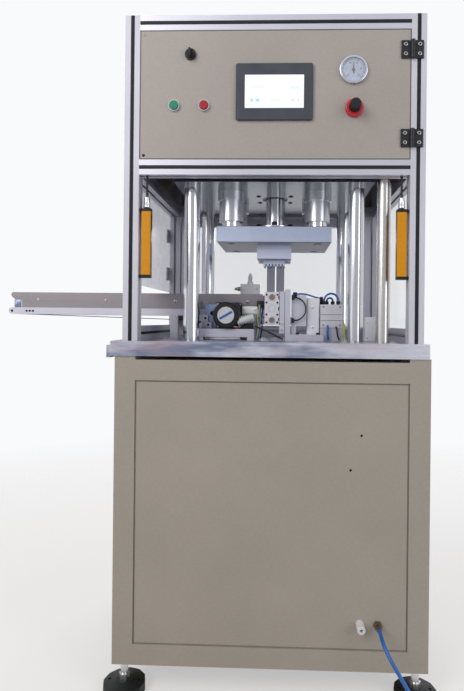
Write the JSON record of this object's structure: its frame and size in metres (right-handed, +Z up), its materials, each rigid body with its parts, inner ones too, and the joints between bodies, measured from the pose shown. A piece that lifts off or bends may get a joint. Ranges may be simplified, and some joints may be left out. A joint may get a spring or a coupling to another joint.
{
  "type": "crimp sealing machine",
  "caption": "Bench-type crimp sealing press in a slotted-profile guard frame with a control door, infeed conveyor and light curtain, on a closed cabinet with levelling feet.",
  "frame": {"origin": "on the floor, midway between the four levelling feet", "axes": "+Z up, +X to the operator's right, +Y away from the operator"},
  "size_m": [1.284, 1.0315, 1.8202],
  "materials": {
    "profile_aluminium": "clear anodised, satin",
    "beige_paint": "fine-textured powder coat",
    "ground_steel": "ground plate",
    "machined_steel": "milled and ground",
    "chrome_steel": "hard chromed and polished",
    "stainless": "brushed stainless sheet",
    "anodised_body": "bead-blasted, anodised",
    "black_steel": "black oxide or paint",
    "black_plastic": "moulded, matt",
    "grey_plastic": "moulded, fine grain",
    "white_plastic": "moulded, matt",
    "green_plastic": "translucent cap",
    "red_plastic": "glossy cap",
    "orange_paint": "glossy coat on an extruded case",
    "clear_pane": "clear polycarbonate sheet",
    "frosted_pane": "light grey translucent sheet",
    "belt_rubber": "smooth belt",
    "blue_tube": "polyurethane tube",
    "cable_rubber": "cable sheath",
    "nickel_brass": "nickel plated",
    "zinc_steel": "bright zinc"
  },
  "bodies": {
    "frame": {"foot_pads": "black_plastic", "foot_stems": "zinc_steel", "cabinet_posts": "beige_paint", "cabinet_rails": "beige_paint", "cabinet_front_panel": "beige_paint", "fixed_panels": "beige_paint", "table_plate": "ground_steel", "guard_posts": "profile_aluminium", "guard_beams": "profile_aluminium", "hinge_mounts": "black_steel", "right_guard_pane": "clear_pane", "press_columns": "chrome_steel", "top_plate": "machined_steel", "guide_bushings": "chrome_steel", "cylinder_barrel": "anodised_body", "cylinder_heads": "anodised_body", "conveyor_beams": "profile_aluminium", "conveyor_guides": "stainless", "conveyor_belt": "belt_rubber", "conveyor_motor": "black_steel", "table_brackets": "anodised_body", "nozzle_block": "white_plastic", "air_cylinders": "anodised_body", "light_curtains": "orange_paint", "curtain_caps": "black_plastic", "machine_cables": "cable_rubber", "air_tubes": "blue_tube", "cable_riser": "stainless", "junction_box": "white_plastic", "cable_gland": "white_plastic", "air_inlet": "nickel_brass", "air_hose": "blue_tube", "air_hose_coil": "blue_tube", "air_hose_coupling": "nickel_brass"},
    "control_door": {"control_door": "beige_paint", "control_door_hinges": "black_steel", "touch_panel": "grey_plastic", "switch_bezels": "chrome_steel", "gauge_case": "chrome_steel", "regulator_collar": "red_plastic"},
    "selector": {"selector_knob": "black_plastic"},
    "green_button": {"green_button": "green_plastic"},
    "red_button": {"red_button": "red_plastic"},
    "gauge_needle": {"gauge_needle": "black_steel"},
    "regulator_knob": {"regulator_knob": "black_plastic"},
    "left_door": {"left_door_pane": "frosted_pane", "left_door_hardware": "black_steel"},
    "rear_left_door": {"rear_left_door": "profile_aluminium", "rear_left_pane": "clear_pane"},
    "rear_right_door": {"rear_right_door": "profile_aluminium", "rear_right_pane": "clear_pane"},
    "ram": {"ram_plate": "machined_steel", "guide_rods": "chrome_steel", "piston_rod": "chrome_steel", "crimp_tool": "machined_steel"},
    "drive_roller": {"drive_roller": "zinc_steel"},
    "idler_left": {"idler_left": "zinc_steel"},
    "idler_right": {"idler_right": "zinc_steel"},
    "clamp_slide": {"clamp_slide": "zinc_steel"},
    "pusher_slide": {"pusher_slide": "anodised_body"}
  },
  "joints": [
    {"name": "ram_stroke", "type": "slide", "parent": "frame", "child": "ram", "axis": [0, 0, -1], "range_m": [0, 0.065]},
    {"name": "control_door_hinge", "type": "hinge", "parent": "frame", "child": "control_door", "pos_m": [0.362, -0.3265, 1.6075], "axis": [0, 0, 1], "range_deg": [0, 110]},
    {"name": "selector_turn", "type": "hinge", "parent": "control_door", "child": "selector", "pos_m": [-0.224, -0.32, 1.714], "axis": [0, -1, 0], "range_deg": [-45, 45]},
    {"name": "green_button_press", "type": "slide", "parent": "control_door", "child": "green_button", "axis": [0, 1, 0], "range_m": [0, 0.004], "stiffness_N_per_m": 600, "springref_m": -0.002},
    {"name": "red_button_press", "type": "slide", "parent": "control_door", "child": "red_button", "axis": [0, 1, 0], "range_m": [0, 0.004], "stiffness_N_per_m": 600, "springref_m": -0.002},
    {"name": "gauge_needle_turn", "type": "hinge", "parent": "control_door", "child": "gauge_needle", "pos_m": [0.208, -0.32, 1.671], "axis": [0, -1, 0], "range_deg": [-135, 135]},
    {"name": "regulator_turn", "type": "hinge", "parent": "control_door", "child": "regulator_knob", "pos_m": [0.211, -0.32, 1.57], "axis": [0, -1, 0], "range_deg": [0, 720]},
    {"name": "left_door_hinge", "type": "hinge", "parent": "frame", "child": "left_door", "pos_m": [-0.4065, 0.282, 1.25], "axis": [0, 0, -1], "range_deg": [0, 110]},
    {"name": "rear_left_door_hinge", "type": "hinge", "parent": "frame", "child": "rear_left_door", "pos_m": [-0.362, 0.3265, 1.19], "axis": [0, 0, 1], "range_deg": [0, 110]},
    {"name": "rear_right_door_hinge", "type": "hinge", "parent": "frame", "child": "rear_right_door", "pos_m": [0.362, 0.3265, 1.19], "axis": [0, 0, -1], "range_deg": [0, 110]},
    {"name": "drive_roller_spin", "type": "hinge", "parent": "frame", "child": "drive_roller", "pos_m": [-0.137, -0.028, 1.0225], "axis": [0, 1, 0], "continuous": true},
    {"name": "idler_left_spin", "type": "hinge", "parent": "frame", "child": "idler_left", "pos_m": [-0.8225, -0.028, 1.0315], "axis": [0, 1, 0], "continuous": true},
    {"name": "idler_right_spin", "type": "hinge", "parent": "frame", "child": "idler_right", "pos_m": [-0.0005, -0.028, 1.0315], "axis": [0, 1, 0], "continuous": true},
    {"name": "clamp_stroke", "type": "slide", "parent": "frame", "child": "clamp_slide", "axis": [0, 1, 0], "range_m": [0, 0.018]},
    {"name": "pusher_stroke", "type": "slide", "parent": "frame", "child": "pusher_slide", "axis": [-1, 0, 0], "range_m": [0, 0.03]}
  ],
  "couplings": [
    {"joint": "idler_left_spin", "follows": "drive_roller_spin", "ratio": 2.125},
    {"joint": "idler_right_spin", "follows": "drive_roller_spin", "ratio": 2.125}
  ]
}
